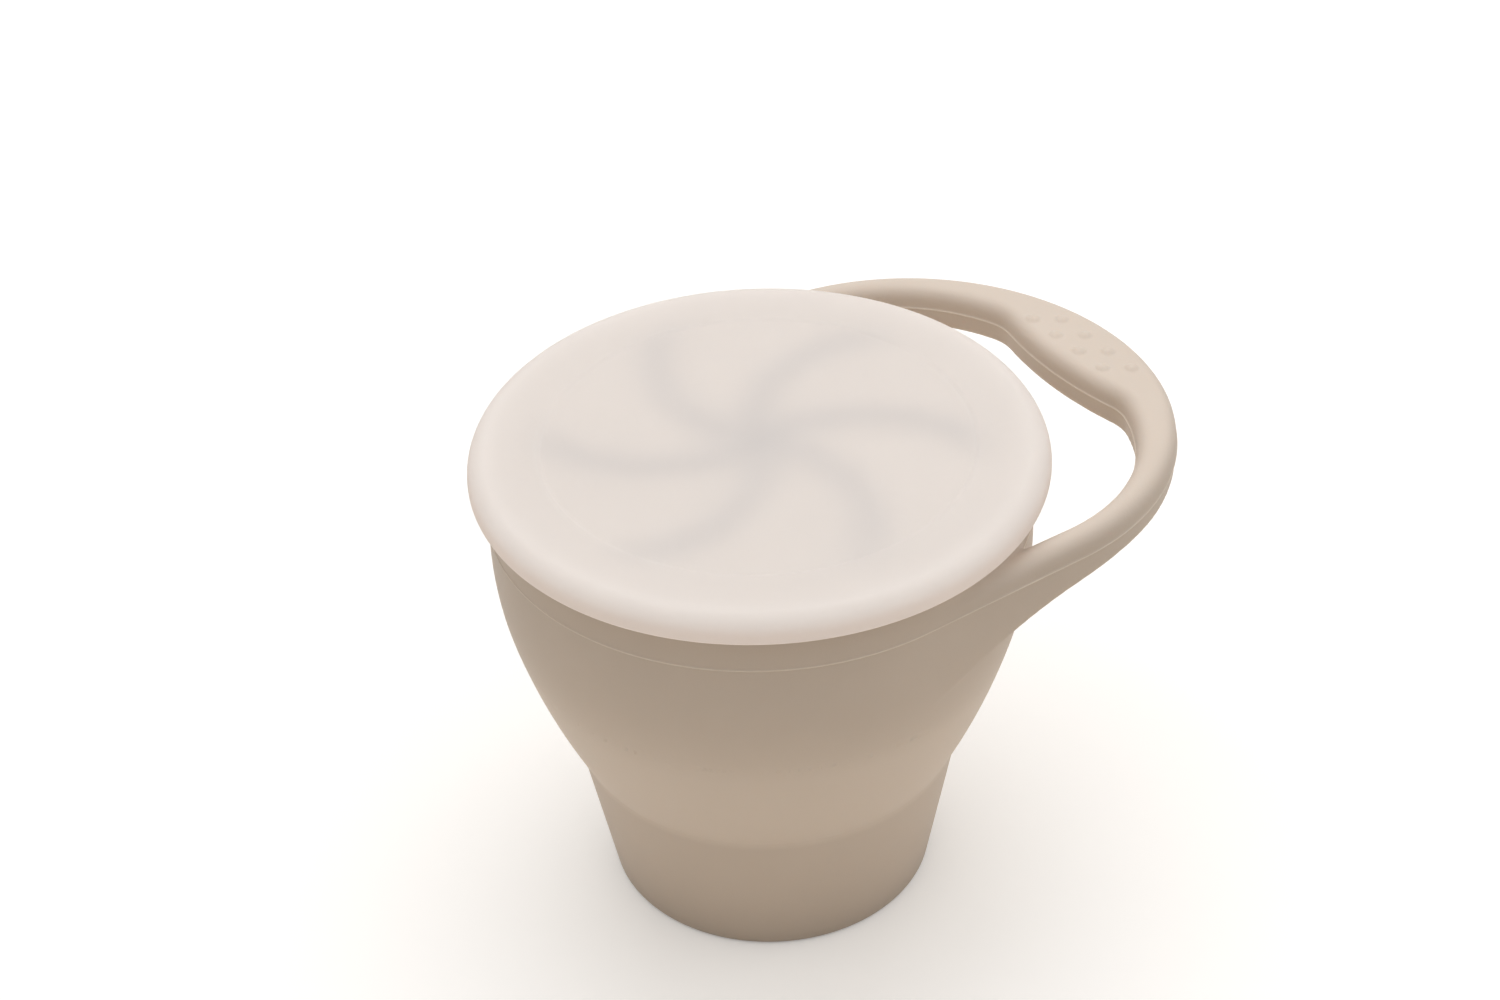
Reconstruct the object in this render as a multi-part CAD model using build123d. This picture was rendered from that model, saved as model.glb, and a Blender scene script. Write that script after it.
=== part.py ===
from build123d import *
import math
import os

# A toddler's snack cup in soft silicone. All lengths in mm, all angles in degrees.
# +Z is up the cup's axis, z = 0 is the table under the base, +X points to the middle of the handle.
# The cup is one moulding in three zones: a thick lower cup, a thin wall that rolls into itself when
# the cup is pushed flat, and a thick rim section with the handle. A lid with six soft flaps grips the
# rim's neck, and a dust cover is pushed over the lid.

# ---- cup: outside, from the table up ----
base_radius = 28.1
base_rounding = 1.4
lower_cup_height = 28.5
kink_radius = 33.4          # where the lower cup meets the folding wall
fold_height = 26.5          # folding wall, from the kink to the rim section
shoulder_height = 16.0      # rounded lower part of the rim section
shoulder_radius = 64.0      # of the arc that brings the shoulder upright
rim_rise = 5.2              # from the shoulder to the mould's parting line
rim_radius = 45.3
rim_band_height = 5.4       # from the parting line to the lid's seat

# ---- cup: walls ----
base_thickness = 3.0
lower_wall = 2.6
fold_wall_thickness = 1.6
rim_wall = 2.8
wall_taper_height = 6.0     # height over which a thick wall thins to the folding wall
inner_base_rounding = 5.0

# ---- neck that the lid grips ----
neck_height = 2.8
neck_step = 2.0             # how far the neck stands in from the band
neck_wall = 2.7
neck_rounding = 0.5

# ---- handle ----
loop_inset = 0.6            # how far the arms' outside stands in from the rim's outside
loop_offset = 31.4          # from the cup's axis to the centre of the loop's round end
arm_width = 5.0
loop_corner_offset = 6.7    # from the handle's middle line to the centre of an inner corner
pad_depth = 14.1            # grip pad, from its outer to its inner edge
pad_bulge_radius = 70.0
pad_bulge_rise = 3.3        # how far the bulge stands in from the opening's round end
pad_corner_radius = 8.0
handle_above_parting = 3.8
handle_below_parting = 4.0
arm_crown_share = 0.48      # rounding of each top edge, as a share of an arm's width
handle_bottom_rounding = 1.2
opening_bottom_rounding = 1.0
root_rounding = 2.0         # in the corner between an arm and the rim
root_overlap = 0.2          # how far that corner's filling reaches into the rim
root_arch_start = 48.0      # from the cup's axis to where the arms start to deepen
root_arch_radius = 80.0

# ---- raised dots on the grip pad ----
dot_radius = 0.95
dot_height = 0.35
dot_spacing = 6.3
inner_row_inset = 4.2       # from the pad's inner edge to the first row of dots
row_spacing = 4.1
inner_row_dots = 4
outer_row_dots = 5

# ---- snack lid ----
lid_clearance = 0.3
lid_thickness = 1.5
lid_rim_rise = 0.3          # the lid's outer ring stands above the flaps by this much
lid_top_rounding = 0.6
plug_depth = 6.0
plug_thickness = 1.5
plug_rounding = 0.5
flap_count = 6
slit_end_inset = 1.2        # from the lid's ring in to the ends of the slits
slit_arc_radius = 25.5
slit_start_angle = 20.5     # where the first slit ends, from +X
slit_width = 0.3
slit_relief_radius = 1.1
centre_hole_radius = 1.2
hinge_gap = 0.2
hinge_groove_angle = 32.0   # half angle of the groove under a flap's hinge line

# ---- dust cover ----
cover_clearance = 0.3
cover_thickness = 1.6
cover_skirt_wall = 2.4
cover_skirt_depth = 4.8
cover_edge_share = 0.45     # rounding of the skirt's lower edge, as a share of its wall
cover_side_height = 0.3     # upright part of the skirt, between its roundings
cover_recess_inset = 12.0   # from the cover's outside to the edge of its recess
cover_recess_depth = 0.3

# ---- limits for picking out the edges to be rounded ----
height_slack = 0.01
axis_slack = 0.1            # edges nearer to the cup's axis plane than this are left alone
outline_slack = 0.5         # furthest that an edge of the finger opening lies from its outline
shortest_level_edge = 1.0
steepest_underside = -0.3   # upward part of the normal of a face that counts as underside

# ---- places worked out from the sizes above ----
kink_height = lower_cup_height
fold_top = kink_height + fold_height
shoulder_top = fold_top + shoulder_height
parting_height = shoulder_top + rim_rise
seat_height = parting_height + rim_band_height
neck_top = seat_height + neck_height
neck_radius = rim_radius - neck_step
mouth_radius = neck_radius - neck_wall
flap_top = neck_top + lid_thickness
lid_top = flap_top + lid_rim_rise
cover_top = lid_top + cover_thickness
lower_wall_lean = (kink_radius - base_radius) / lower_cup_height
shoulder_centre = rim_radius - shoulder_radius
fold_top_lean = math.asin(shoulder_height / shoulder_radius)
fold_top_radius = shoulder_centre + shoulder_radius * math.cos(fold_top_lean)
slit_spacing = 360.0 / flap_count
loop_radius = rim_radius - loop_inset
handle_top = parting_height + handle_above_parting
handle_top_rounding = arm_crown_share * arm_width
plug_outside = mouth_radius - lid_clearance
ring_inside = plug_outside - plug_thickness
slit_end_radius = ring_inside - slit_end_inset
cover_inside = rim_radius + cover_clearance
cover_radius = cover_inside + cover_skirt_wall
hinge_apothem = slit_end_radius * math.cos(math.radians(slit_spacing / 2))


def revolve_profile(lines):
    """Turn a closed outline, drawn as X = radius and Y = height, about the cup's axis."""
    return revolve(Plane.XZ * make_face(lines), Axis.Z)


def lower_cup():
    """Thick base and lower wall, thinned at the top to meet the folding wall."""
    taper_start = kink_height - wall_taper_height
    outline = Polyline(
        (0, 0),
        (base_radius, 0),
        (kink_radius, kink_height),
        (kink_radius - fold_wall_thickness, kink_height),
        (base_radius + lower_wall_lean * taper_start - lower_wall, taper_start),
        (base_radius + lower_wall_lean * base_thickness - lower_wall, base_thickness),
        (0, base_thickness),
        close=True,
    )
    cup = revolve_profile(outline)
    foot = cup.edges().group_by(Axis.Z)[0]
    cup = fillet(foot, base_rounding)
    floor_low = base_thickness - height_slack
    floor_high = base_thickness + height_slack
    floor_edge = cup.edges().filter_by_position(Axis.Z, floor_low, floor_high)
    return fillet(floor_edge, inner_base_rounding)


def fold_arc(high, low):
    """Bulging arc down the folding wall, which leaves the shoulder without a crease."""
    return TangentArc(high, low, tangent=(-math.sin(fold_top_lean), -math.cos(fold_top_lean)))


def fold_wall():
    """Thin bulging wall between the kink and the shoulder."""
    outer_low = (kink_radius, kink_height)
    outer_high = (fold_top_radius, fold_top)
    inner_low = (kink_radius - fold_wall_thickness, kink_height)
    inner_high = (fold_top_radius - fold_wall_thickness, fold_top)
    outline = [
        fold_arc(outer_high, outer_low),
        Line(outer_low, inner_low),
        fold_arc(inner_high, inner_low),
        Line(inner_high, outer_high),
    ]
    return revolve_profile(outline)


def shoulder_face(inset, low):
    """Arc up the shoulder's outside, or a face set in from it, and the radius where it starts."""
    reach = shoulder_radius - inset
    start = shoulder_centre + math.sqrt(reach**2 - (shoulder_top - low) ** 2)
    return RadiusArc((start, low), (shoulder_centre + reach, shoulder_top), -reach), start


def rim_section():
    """Shoulder and upright rim, with the seat and neck for the lid."""
    inside = rim_radius - rim_wall
    taper_top = fold_top + wall_taper_height
    outer_arc, outer_start = shoulder_face(0, fold_top)
    inner_arc, inner_start = shoulder_face(rim_wall, taper_top)
    upper = Polyline(
        (rim_radius, shoulder_top),
        (rim_radius, seat_height),
        (neck_radius, seat_height),
        (neck_radius, neck_top),
        (mouth_radius, neck_top),
        (mouth_radius, seat_height),
        (inside, parting_height),
        (inside, shoulder_top),
    )
    lower = Polyline(
        (inner_start, taper_top),
        (fold_top_radius - fold_wall_thickness, fold_top),
        (outer_start, fold_top),
    )
    section = make_face([outer_arc, upper, inner_arc, lower])
    section = fillet(section.vertices().group_by(Axis.Y)[-1], neck_rounding)
    return revolve(Plane.XZ * section, Axis.Z)


def loop_section():
    """Half of the loop's filled-in section, from its middle out to the arms' outer face."""
    outer_arc, outer_start = shoulder_face(loop_inset, fold_top)
    rest = Polyline(
        (loop_radius, shoulder_top),
        (loop_radius, handle_top),
        (0, handle_top),
        (0, fold_top),
        (outer_start, fold_top),
    )
    section = make_face([outer_arc, rest])
    top_corner = section.vertices().group_by(Axis.Y)[-1].sort_by(Axis.X)[-1]
    return fillet(top_corner, handle_top_rounding)


def loop_outside():
    """The handle's outside as a filled block: straight sides and a round end."""
    half = Plane.YZ * loop_section()
    straight = extrude(half, loop_offset)
    straight += mirror(straight, Plane.XZ)
    end = revolve(Plane.XZ * loop_section(), Axis.Z, 180)
    return straight + Pos(loop_offset, 0, 0) * Rot(0, 0, -90) * end


def loop_opening():
    """Plan of the finger opening: straight sides, round corners and the pad's bulging edge."""
    half_width = loop_radius - arm_width
    pad_inner_edge = loop_offset + loop_radius - pad_depth
    length = pad_inner_edge + pad_bulge_rise
    opening = Pos(length / 2, 0) * Rectangle(length, 2 * half_width)
    opening = fillet(opening.vertices().group_by(Axis.X)[-1], half_width - loop_corner_offset)
    opening -= Pos(pad_inner_edge + pad_bulge_radius, 0) * Circle(pad_bulge_radius)
    opening = fillet(opening.vertices().group_by(Axis.X)[-1], pad_corner_radius)
    opening -= Circle(rim_radius - root_overlap)
    return fillet(opening.vertices().group_by(Axis.X)[0], root_rounding)


def under_handle():
    """Space under the handle: flat beyond the pad and arched down towards the rim."""
    underside = parting_height - handle_below_parting
    reach = loop_offset + loop_radius
    middle = Pos(root_arch_start, 0, underside - root_arch_radius)
    arch = middle * Rot(90, 0, 0) * Cylinder(root_arch_radius, 4 * rim_radius)
    beyond = middle * Pos(reach / 2, 0, 0) * Box(reach, 4 * rim_radius, 2 * root_arch_radius)
    return arch + beyond


def underside_edges(block):
    """Edges between the block's underside and its outer walls."""
    faces = block.faces()
    undersides = [face for face in faces if face.normal_at(face.center()).Z < steepest_underside]
    edges = [edge for face in undersides for edge in face.edges() if edge.center().X > axis_slack]
    return [edge for edge in edges if sum(edge.is_same(other) for other in edges) == 1]


def opening_edges(loop, outline, above):
    """Level edges of the finger opening, above or below the parting line."""
    chosen = []
    for edge in loop.edges():
        middle = edge.center()
        size = edge.bounding_box().size
        on_outline = Vertex(middle.X, middle.Y, 0).distance_to(outline) < outline_slack
        is_level = size.X + size.Y > shortest_level_edge
        on_side = (middle.Z > parting_height) == above
        if on_outline and is_level and on_side and middle.X > axis_slack:
            chosen.append(edge)
    return chosen


def handle():
    """Loop with a wide grip pad, deepening under the arms towards the rim."""
    block = loop_outside() - under_handle()
    block = fillet(underside_edges(block), handle_bottom_rounding)
    plan = loop_opening()
    loop = block - extrude(Pos(0, 0, fold_top) * plan, handle_top - fold_top)
    outline = plan.face().outer_wire()
    loop = fillet(opening_edges(loop, outline, True), handle_top_rounding)
    return fillet(opening_edges(loop, outline, False), opening_bottom_rounding)


def grip_dots():
    """Two staggered rows of low round dots on the grip pad."""
    ball_radius = (dot_radius**2 + dot_height**2) / (2 * dot_height)
    ball = Pos(0, 0, handle_top + dot_height - ball_radius) * Sphere(ball_radius)
    inner_row = loop_offset + loop_radius - pad_depth + inner_row_inset
    dots = Part()
    for row_x, count in ((inner_row, inner_row_dots), (inner_row + row_spacing, outer_row_dots)):
        dots += Pos(row_x, 0, 0) * GridLocations(dot_spacing, dot_spacing, 1, count) * ball
    return dots


def rim_with_handle():
    """Rim section and handle, moulded together."""
    return rim_section() + (handle() - cup_space()) + grip_dots()


def cup_space():
    """Everything inside the middle of the rim section's wall."""
    middle = rim_wall / 2
    arc, start = shoulder_face(middle, fold_top)
    rest = Polyline(
        (rim_radius - middle, shoulder_top),
        (rim_radius - middle, neck_top),
        (0, neck_top),
        (0, fold_top),
        (start, fold_top),
    )
    return revolve_profile([arc, rest])


def slit_end(index):
    """Angle from +X at which a slit ends."""
    return slit_start_angle + index * slit_spacing


def slit_circle(index, radius):
    """Disc on the centre of a slit's arc, which runs from the lid's middle to the slit's end."""
    half_chord = slit_end_radius / 2
    swing = math.degrees(math.acos(half_chord / slit_arc_radius))
    return Rot(0, 0, slit_end(index) - swing) * Pos(slit_arc_radius, 0) * Circle(radius)


def hinge_hexagon(apothem):
    """Outline through the flaps' hinge lines."""
    corner_radius = apothem / math.cos(math.radians(slit_spacing / 2))
    return Rot(0, 0, slit_start_angle) * RegularPolygon(corner_radius, flap_count)


def slit_relief_holes(depth):
    """Round holes at the ends of the slits, which stop them tearing."""
    ring = PolarLocations(slit_end_radius, flap_count, start_angle=slit_start_angle)
    hole = Cylinder(slit_relief_radius, depth, align=(Align.CENTER, Align.CENTER, Align.MAX))
    return Pos(0, 0, flap_top) * (Part() + ring * hole)


def flap(index):
    """One flap of the lid, between two slits and its hinge line."""
    plan = hinge_hexagon(hinge_apothem) & slit_circle(index + 1, slit_arc_radius - slit_width / 2)
    plan -= slit_circle(index, slit_arc_radius + slit_width / 2)
    plan -= Circle(centre_hole_radius)
    sheet = extrude(Pos(0, 0, flap_top) * plan, -lid_thickness)
    hinge_side = hinge_hexagon(hinge_apothem - hinge_gap / 2)
    sheet &= extrude(Pos(0, 0, flap_top) * hinge_side, -lid_thickness, taper=hinge_groove_angle)
    return sheet - slit_relief_holes(lid_thickness)


def snack_lid():
    """Lid ring with an outer lip and an inner plug, and the web that the flaps hinge on."""
    lip_inside = neck_radius + lid_clearance
    outline = Polyline(
        (ring_inside, flap_top),
        (ring_inside, lid_top),
        (rim_radius, lid_top),
        (rim_radius, seat_height),
        (lip_inside, seat_height),
        (lip_inside, neck_top),
        (plug_outside, neck_top),
        (plug_outside, flap_top - plug_depth),
        (ring_inside, flap_top - plug_depth),
        close=True,
    )
    section = make_face(outline)
    section = fillet(section.vertices().group_by(Axis.Y)[-1].sort_by(Axis.X)[-1], lid_top_rounding)
    section = fillet(section.vertices().group_by(Axis.Y)[0], plug_rounding)
    ring = revolve(Plane.XZ * section, Axis.Z)
    web = Cylinder(ring_inside, lid_thickness, align=(Align.CENTER, Align.CENTER, Align.MAX))
    web = Pos(0, 0, flap_top) * web
    web_side = hinge_hexagon(hinge_apothem + hinge_gap / 2)
    web -= extrude(Pos(0, 0, flap_top) * web_side, -lid_thickness, taper=-hinge_groove_angle)
    return ring + web - slit_relief_holes(lid_thickness)


def dust_cover():
    """Shallow cover with a rolled edge and a round recess in its top."""
    skirt_bottom = cover_top - cover_skirt_depth
    recess_radius = cover_radius - cover_recess_inset
    edge_rounding = cover_edge_share * cover_skirt_wall
    top_rounding = cover_skirt_depth - edge_rounding - cover_side_height
    outline = Polyline(
        (0, lid_top),
        (cover_inside, lid_top),
        (cover_inside, skirt_bottom),
        (cover_radius, skirt_bottom),
        (cover_radius, cover_top),
        (recess_radius, cover_top),
        (recess_radius, cover_top - cover_recess_depth),
        (0, cover_top - cover_recess_depth),
        close=True,
    )
    section = make_face(outline)
    top_corner = section.vertices().group_by(Axis.X)[-1].sort_by(Axis.Y)[-1]
    section = fillet(top_corner, top_rounding)
    lower_corners = section.vertices().group_by(Axis.Y)[0]
    section = fillet(lower_corners, edge_rounding)
    return revolve(Plane.XZ * section, Axis.Z)


def write(name, shape):
    """Write one named piece to its STEP file."""
    export_step(shape, os.path.join("parts", name + ".step"))


os.makedirs("parts", exist_ok=True)
write("lower_cup", lower_cup())
write("fold_wall", fold_wall())
write("rim_with_handle", rim_with_handle())
write("snack_lid", snack_lid())
for number in range(flap_count):
    write(f"lid_flap_{number + 1}", flap(number))
write("dust_cover", dust_cover())
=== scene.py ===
import math

import bmesh
import bpy
import numpy as np
from mathutils import Matrix, Vector


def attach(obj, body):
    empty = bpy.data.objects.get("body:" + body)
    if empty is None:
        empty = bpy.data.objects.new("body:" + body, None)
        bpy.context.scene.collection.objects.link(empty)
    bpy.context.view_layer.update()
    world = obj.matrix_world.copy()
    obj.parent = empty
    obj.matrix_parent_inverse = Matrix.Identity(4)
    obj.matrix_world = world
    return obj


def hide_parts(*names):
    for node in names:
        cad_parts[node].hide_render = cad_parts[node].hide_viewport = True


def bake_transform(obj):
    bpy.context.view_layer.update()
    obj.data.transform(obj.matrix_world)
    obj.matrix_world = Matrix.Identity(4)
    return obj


# A toddler's snack cup in soft silicone, dressed around its CAD frame.
# Lengths are in mm and angles in degrees where nothing else is said, and a factor of 0.001 turns lengths
# to metres. +Z is up the cup's axis, z = 0 is the floor, +X points to the middle of the handle.

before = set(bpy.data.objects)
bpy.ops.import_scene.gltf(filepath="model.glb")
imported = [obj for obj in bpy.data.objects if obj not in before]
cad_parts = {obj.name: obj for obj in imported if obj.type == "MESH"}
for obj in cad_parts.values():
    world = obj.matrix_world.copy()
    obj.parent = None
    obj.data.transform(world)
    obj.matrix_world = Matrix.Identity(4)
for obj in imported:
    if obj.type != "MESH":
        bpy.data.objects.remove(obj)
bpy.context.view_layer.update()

# ---- cup: outside, from the floor up ----
BASE_RADIUS = 28.1
BASE_ROUNDING = 1.4
KINK_HEIGHT = 28.5          # where the lower cup meets the folding wall
KINK_RADIUS = 33.4
KINK_EDGE = 0.35            # height over which the wall turns at the kink
FOLD_TOP = KINK_HEIGHT + 26.5
FOLD_TOP_RADIUS = 43.27
SHOULDER_TOP = FOLD_TOP + 16.0
SHOULDER_RADIUS = 64.0      # of the arc that brings the shoulder upright
SHOULDER_LIMIT = 40.0       # depth below the shoulder's top at which that arc is held
RIM_RADIUS = 45.3
PARTING = SHOULDER_TOP + 5.2  # height of the mould's parting line
SEAT = PARTING + 5.4        # where the lid's lip rests
NECK_RADIUS = RIM_RADIUS - 2.0
NECK_TOP = SEAT + 2.8

# ---- cup: walls and inside ----
MOUTH_RADIUS = NECK_RADIUS - 2.7
BASE_THICKNESS = 3.0
LOWER_WALL = 2.6
FOLD_WALL = 1.6
RIM_WALL = 2.8
TAPER = 6.0                 # height over which a thick wall thins to the folding wall
FLOOR_ROUNDING = 5.0        # in the corner between the wall and the floor inside
SEAT_ROUNDING = 0.35
SEAT_FILLET = 0.3           # between the seat and the neck
NECK_ROUNDING = 0.5

# ---- handle ----
LOOP_RADIUS = 44.7
LOOP_OFFSET = 31.4          # from the cup's axis to the centre of the loop's round end
ARM_WIDTH = 5.0
LOOP_CORNER = 33.0          # radius of the finger opening's round end
PAD_EDGE = LOOP_OFFSET + LOOP_RADIUS - 14.1
PAD_BULGE = 70.0
PAD_RISE = 3.3
PAD_CORNER = 8.0
HANDLE_TOP = PARTING + 3.8
HANDLE_BOTTOM = PARTING - 3.92
CROWN = 2.4                 # rounding of the arms' upper edges
LOWER_ROUNDING = 1.1
ARCH_START = 48.0           # from the cup's axis to where the arms start to deepen
ARCH_RADIUS = 80.0
DRAFT = math.tan(math.radians(2.5))
DRAFT_ONSET = (4.0, 26.0)   # the sides start to lean between these places along X
DRAFT_SOFTNESS = 0.04       # rounds the turn of the lean at the parting line
HANDLE_DROOP = 0.5          # how far the soft handle hangs at its pad
DROOP_START = 26.0
DROOP_END = PAD_EDGE + 6
DROOP_LIMIT = 1.2           # share of the way from start to end at which the droop is held
DROOP_CLEARANCE = 0.5       # from the rim's outside to the first points that droop

# ---- fillet between the handle and the rim, and the raised seam ----
ROOT_FILLET = 1.7
ROOT_ONSET = (1.0, 9.0)     # the fillet starts between these places along X
ROOT_FADE = 0.6             # share of the fillet that is gone at the top
ROOT_FADE_HEIGHTS = (77.5, 80.3)
SEAM_RISE = 0.2
SEAM_WIDTH = 0.16

# ---- raised dots on the grip pad: two staggered rows, each a place along X and the row's middle ----
DOT_ROWS = ((PAD_EDGE + 4.3, 1.5), (PAD_EDGE + 8.35, -1.5))
DOTS_IN_ROW = 4
DOT_PITCH = 6.4
DOT_REACH = 1.35
DOT_RISE = 0.46
DOT_STEEPNESS = 1.15

# ---- lid ----
MEMBRANE = 1.5              # thickness of the flaps and of the web round them
FLAP_TOP = NECK_TOP + MEMBRANE
LID_TOP = FLAP_TOP + 0.3
LID_ROUNDING = 0.6
LID_CLEARANCE = 0.3
PLUG_OUTSIDE = MOUTH_RADIUS - LID_CLEARANCE
RING_INSIDE = PLUG_OUTSIDE - 1.5
PLUG_BOTTOM = FLAP_TOP - 6.0
FLAP_COUNT = 6
FLAP_ANGLE = 360 / FLAP_COUNT
SLIT_END = RING_INSIDE - 1.2  # from the lid's middle to the ends of the slits
SLIT_ARC = 25.5
SLIT_START = 20.5           # direction of the first slit's end, from +X
HALF_SLIT = 0.05            # half the gap between two flaps
SLIT_NARROWS = 3.0          # radius inside which that gap turns into a fixed angle
SLIT_BEGINS = 0.5           # radius inside which a slit's direction stays the same
LEAST_CROSSING = 0.5        # least angle, in radians, at which a slit is taken to cross a circle
HINGE_APOTHEM = SLIT_END * math.cos(math.radians(FLAP_ANGLE / 2))
RELIEF = 1.1                # radius of the holes at the slits' ends
CENTRE_HOLE = 1.2

# ---- soft shape of the membrane, and the shade painted along its slits and in its middle ----
SLIT_SAG, SLIT_SAG_WIDTH = 0.55, 2.2
MIDDLE_SAG, MIDDLE_SAG_WIDTH = 0.5, 9.0
EDGE_THINNING, EDGE_WIDTH = 0.5, 1.2
SLIT_SHADE, SLIT_SHADE_WIDTH = 0.65, 3.3
MIDDLE_SHADE, MIDDLE_SHADE_WIDTH = 0.75, 7.5

# ---- dust cover ----
COVER_INSIDE = RIM_RADIUS + 0.3
COVER_RADIUS = COVER_INSIDE + 2.4
COVER_TOP = LID_TOP + 1.6
COVER_BOTTOM = COVER_TOP - 4.8
COVER_EDGE = 1.1            # rounding of the skirt's lower edge
COVER_TOP_ROUNDING = 3.4
RECESS_RADIUS = COVER_RADIUS - 12.0
RECESS_DEPTH = 0.3
LID_GAP = 0.05              # kept between a skin and the piece that it lies on

# ---- meshes ----
SEGMENTS = 248              # steps round the axis
LID_SEGMENTS = 360
CREASE = 50                 # edges of the lid that turn more than this stay sharp
TINY = 1e-6                 # lengths below this count as nothing
TINIEST = 1e-9              # keeps a division safe


# ---------------------------------------------------------------- meshes
def add_object(name, points, faces, crease=None):
    """New smooth mesh object from points in mm and lists of point numbers, sharp past a crease angle."""
    mesh = bpy.data.meshes.new(name)
    mesh.from_pydata((np.asarray(points) * 0.001).tolist(), [], faces)
    mesh.validate()
    bm = bmesh.new()
    bm.from_mesh(mesh)
    bmesh.ops.recalc_face_normals(bm, faces=bm.faces)
    bm.to_mesh(mesh)
    bm.free()
    mesh.polygons.foreach_set("use_smooth", [True] * len(mesh.polygons))
    if crease:
        mesh.set_sharp_from_angle(angle=math.radians(crease))
    # each point keeps its place at rest, so that the materials would stay put if the skin bent
    at_rest = mesh.attributes.new("at_rest", "FLOAT_VECTOR", "POINT")
    places = np.zeros(len(mesh.vertices) * 3, np.float32)
    mesh.vertices.foreach_get("co", places)
    at_rest.data.foreach_set("vector", places)
    piece = bpy.data.objects.new(name, mesh)
    bpy.context.scene.collection.objects.link(piece)
    return piece


def arc(centre, radius, start, end, steps):
    """Points on an arc about centre, from one angle to another."""
    angles = np.radians(np.linspace(start, end, steps))
    return [(centre[0] + radius * math.cos(a), centre[1] + radius * math.sin(a)) for a in angles]


def line(start, end, step):
    """Points from start up to and with end, about a step apart, without the first."""
    count = max(1, round(math.dist(start, end) / step))
    start, way = np.array(start), np.array(end) - np.array(start)
    return [tuple(start + way * k / count) for k in range(1, count + 1)]


def walk(outline, *legs):
    """Carries an outline on along straight legs, each with its end and about its step."""
    for end, step in legs:
        outline += line(outline[-1], end, step)


def rings(profile, segments=SEGMENTS):
    """Points and quads of a profile of (radius, height) turned about Z. A radius of 0 is one point."""
    points, faces, rows = [], [], []
    angles = 2 * np.pi * np.arange(segments) / segments
    for radius, height in profile:
        first = len(points)
        if radius < TINY:
            points.append((0, 0, height))
            rows.append([first] * segments)
        else:
            points += [(radius * math.cos(a), radius * math.sin(a), height) for a in angles]
            rows.append(list(range(first, first + segments)))
    for low, high in zip(rows, rows[1:]):
        for k in range(segments):
            n = (k + 1) % segments
            face = [low[k], low[n], high[n], high[k]]
            face = [v for place, v in enumerate(face) if v not in face[:place]]
            faces.append(face)
    return points, faces, rows


def sorted_ring(ring, points):
    """Point numbers of a ring in their order round Z, and their angles."""
    angle = {v: math.atan2(points[v][1], points[v][0]) for v in ring}
    ring = sorted(ring, key=angle.get)
    return ring, [angle[v] for v in ring]


def zipped(ring_a, ring_b, points):
    """Triangles between two rings of points that go round Z at slightly different places."""
    a, angle_a = sorted_ring(ring_a, points)
    b, angle_b = sorted_ring(ring_b, points)
    faces, i, j = [], 0, 0
    turn = 2 * math.pi
    while i < len(a) or j < len(b):
        next_a = angle_a[(i + 1) % len(a)] + (turn if i + 1 >= len(a) else 0)
        next_b = angle_b[(j + 1) % len(b)] + (turn if j + 1 >= len(b) else 0)
        if j >= len(b) or (i < len(a) and next_a <= next_b):
            faces.append([a[i % len(a)], a[(i + 1) % len(a)], b[j % len(b)]])
            i += 1
        else:
            faces.append([a[i % len(a)], b[(j + 1) % len(b)], b[j % len(b)]])
            j += 1
    return faces


def step_up(value, low, high):
    """Smooth step from 0 at low to 1 at high."""
    t = np.clip((value - low) / (high - low), 0, 1)
    return t * t * (3 - 2 * t)


def bell(value, width):
    """1 at a value of 0, falling away over about a width."""
    return math.exp(-((value / width) ** 2))


# ---------------------------------------------------------------- cup and handle
FOLD_LEAN = math.asin((SHOULDER_TOP - FOLD_TOP) / SHOULDER_RADIUS)
SHOULDER_CENTRE = RIM_RADIUS - SHOULDER_RADIUS


def fold_centre(low_radius, high_radius):
    """Radius and centre of the folding wall's arc, which leaves the shoulder without a crease."""
    across = low_radius - high_radius
    down = KINK_HEIGHT - FOLD_TOP
    inward = -math.cos(FOLD_LEAN) * across + math.sin(FOLD_LEAN) * down
    radius = (across**2 + down**2) / (2 * inward)
    return radius, high_radius - math.cos(FOLD_LEAN) * radius, FOLD_TOP + math.sin(FOLD_LEAN) * radius


def outer_radius(z):
    """Radius of the cup's outside at a height, from the kink up."""
    radius, middle, level = fold_centre(KINK_RADIUS, FOLD_TOP_RADIUS)
    fold = middle + np.sqrt(np.maximum(radius**2 - (z - level) ** 2, 0))
    down = np.clip(SHOULDER_TOP - z, 0, None)
    shoulder = SHOULDER_CENTRE + np.sqrt(SHOULDER_RADIUS**2 - np.minimum(down, SHOULDER_LIMIT) ** 2)
    return np.where(z < FOLD_TOP, fold, shoulder)


def crossing(a, b, rounding):
    """Space inside both of two walls, the edge between them rounded."""
    out_a = np.maximum(a + rounding, 0)
    out_b = np.maximum(b + rounding, 0)
    return np.minimum(np.maximum(a, b) + rounding, 0) + np.hypot(out_a, out_b) - rounding


def loop_outside(x, y):
    """Distance outside the loop in plan: the rim's circle, straight tangents and the round end."""
    lateral = np.abs(y)
    tilt = (RIM_RADIUS - LOOP_RADIUS) / LOOP_OFFSET
    level = math.sqrt(1 - tilt**2)
    along = level * x - tilt * lateral
    at_rim = np.hypot(x, lateral) - RIM_RADIUS
    at_end = np.hypot(x - LOOP_OFFSET, lateral) - LOOP_RADIUS
    between = level * lateral + tilt * x - RIM_RADIUS
    return np.where(along < 0, at_rim, np.where(along > level * LOOP_OFFSET, at_end, between))


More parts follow.
